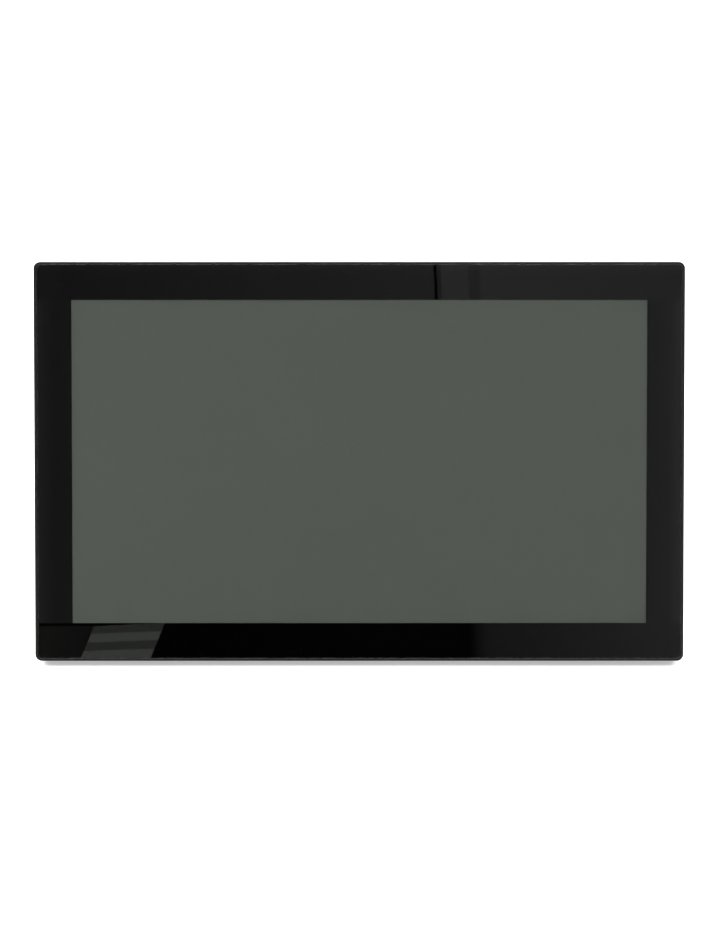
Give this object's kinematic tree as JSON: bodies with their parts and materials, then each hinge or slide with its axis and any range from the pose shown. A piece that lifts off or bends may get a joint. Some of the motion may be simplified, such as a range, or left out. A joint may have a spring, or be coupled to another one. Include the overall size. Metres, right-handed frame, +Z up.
{
  "type": "digital photo frame",
  "caption": "Glass-fronted digital photo frame that leans back on a fold-out rear leg, with rear keys, side sockets, speakers and wall-mount holes.",
  "frame": {"origin": "on the table, at the middle of the footprint of the whole object standing on its open leg", "axes": "+X to the right as the viewer sees the screen, +Y to the rear, +Z up; the screen leans back 15 degrees and faces -Y"},
  "size_m": [0.389, 0.103, 0.2349],
  "materials": {
    "cover_glass": "polished clear cover glass",
    "mask_ink": "black printed mask",
    "foam_tape": "black foam",
    "frame_plastic": "black moulded plastic, satin",
    "cover_plastic": "black moulded plastic, fine texture",
    "leg_plastic": "black moulded plastic, satin",
    "bezel_steel": "thin rolled steel",
    "screen_glass": "unlit display, grey-green",
    "light_film": "milky diffuser film",
    "guide_acrylic": "clear acrylic sheet",
    "reflector_film": "white reflector",
    "tray_aluminium": "pressed sheet",
    "strip_white": "white strip with light sources",
    "green_board": "solder-masked circuit board",
    "amber_film": "amber flexible film",
    "zinc_steel": "zinc-plated sheet steel",
    "bright_screw": "nickel-plated screws",
    "black_screw": "black-plated screws",
    "chip_resin": "moulded chip bodies",
    "sink_aluminium": "extruded fins",
    "coil_ferrite": "moulded ferrite",
    "header_nylon": "natural nylon",
    "socket_plastic": "black moulded inserts",
    "pin_plate": "plated contact pin",
    "socket_steel": "plated sheet shells",
    "cable_sleeve": "sleeved wires",
    "basket_plastic": "moulded baskets",
    "cone_paper": "dark pressed paper",
    "magnet_ferrite": "sintered ferrite",
    "switch_plastic": "tact switch bodies",
    "key_plastic": "satin keys with printed symbols",
    "plunger_plastic": "moulded actuators",
    "insert_brass": "knurled brass inserts",
    "foot_rubber": "matt black rubber",
    "pin_steel": "turned steel",
    "washer_nylon": "friction washers",
    "clip_steel": "phosphated spring steel"
  },
  "bodies": {
    "housing": {"cover_glass": "cover_glass", "window_mask": "mask_ink", "glass_tape": "foam_tape", "screen_gasket": "foam_tape", "front_frame": "frame_plastic", "rear_cover": "cover_plastic", "screen_bezel": "bezel_steel", "screen_cell": "screen_glass", "optical_films": "light_film", "light_guide": "guide_acrylic", "reflector_sheet": "reflector_film", "screen_tray": "tray_aluminium", "light_strip": "strip_white", "source_board": "green_board", "main_board": "green_board", "key_board": "green_board", "driver_flexes": "amber_film", "module_brackets": "zinc_steel", "hinge_bracket": "zinc_steel", "inner_screws": "bright_screw", "hinge_screws": "bright_screw", "cover_screws": "black_screw", "processor": "chip_resin", "memory_chips": "chip_resin", "heat_sink": "sink_aluminium", "power_coils": "coil_ferrite", "board_headers": "header_nylon", "dc_jack": "socket_plastic", "usb_tongue": "socket_plastic", "video_tongue": "socket_plastic", "card_base": "socket_plastic", "dc_pin": "pin_plate", "usb_shell": "socket_steel", "video_shell": "socket_steel", "card_shell": "socket_steel", "panel_cable": "cable_sleeve", "speaker_cables": "cable_sleeve", "key_cable": "cable_sleeve", "speaker_baskets": "basket_plastic", "speaker_cones": "cone_paper", "speaker_magnets": "magnet_ferrite", "key_switches": "switch_plastic", "wall_mount_inserts": "insert_brass", "rubber_feet": "foot_rubber", "hinge_pin": "pin_steel", "hinge_washers": "washer_nylon", "hinge_clip": "clip_steel"},
    "stand": {"stand_leg": "leg_plastic", "stand_foot": "foot_rubber"},
    "previous_button": {"previous_key": "key_plastic", "previous_plunger": "plunger_plastic"},
    "play_button": {"play_key": "key_plastic", "play_plunger": "plunger_plastic"},
    "next_button": {"next_key": "key_plastic", "next_plunger": "plunger_plastic"},
    "menu_button": {"menu_key": "key_plastic", "menu_plunger": "plunger_plastic"},
    "power_button": {"power_key": "key_plastic", "power_plunger": "plunger_plastic"}
  },
  "joints": [
    {"name": "stand_fold", "type": "hinge", "parent": "housing", "child": "stand", "pos_m": [0, 0.0121, 0.12949], "axis": [-1, 0, 0], "range_deg": [0, 30]},
    {"name": "previous_press", "type": "slide", "parent": "housing", "child": "previous_button", "axis": [0, -0.9659, 0.2588], "range_m": [0, 0.0003], "stiffness_N_per_m": 3000, "springref_m": -0.0002},
    {"name": "play_press", "type": "slide", "parent": "housing", "child": "play_button", "axis": [0, -0.9659, 0.2588], "range_m": [0, 0.0003], "stiffness_N_per_m": 3000, "springref_m": -0.0002},
    {"name": "next_press", "type": "slide", "parent": "housing", "child": "next_button", "axis": [0, -0.9659, 0.2588], "range_m": [0, 0.0003], "stiffness_N_per_m": 3000, "springref_m": -0.0002},
    {"name": "menu_press", "type": "slide", "parent": "housing", "child": "menu_button", "axis": [0, -0.9659, 0.2588], "range_m": [0, 0.0003], "stiffness_N_per_m": 3000, "springref_m": -0.0002},
    {"name": "power_press", "type": "slide", "parent": "housing", "child": "power_button", "axis": [0, -0.9659, 0.2588], "range_m": [0, 0.0003], "stiffness_N_per_m": 3000, "springref_m": -0.0002}
  ]
}
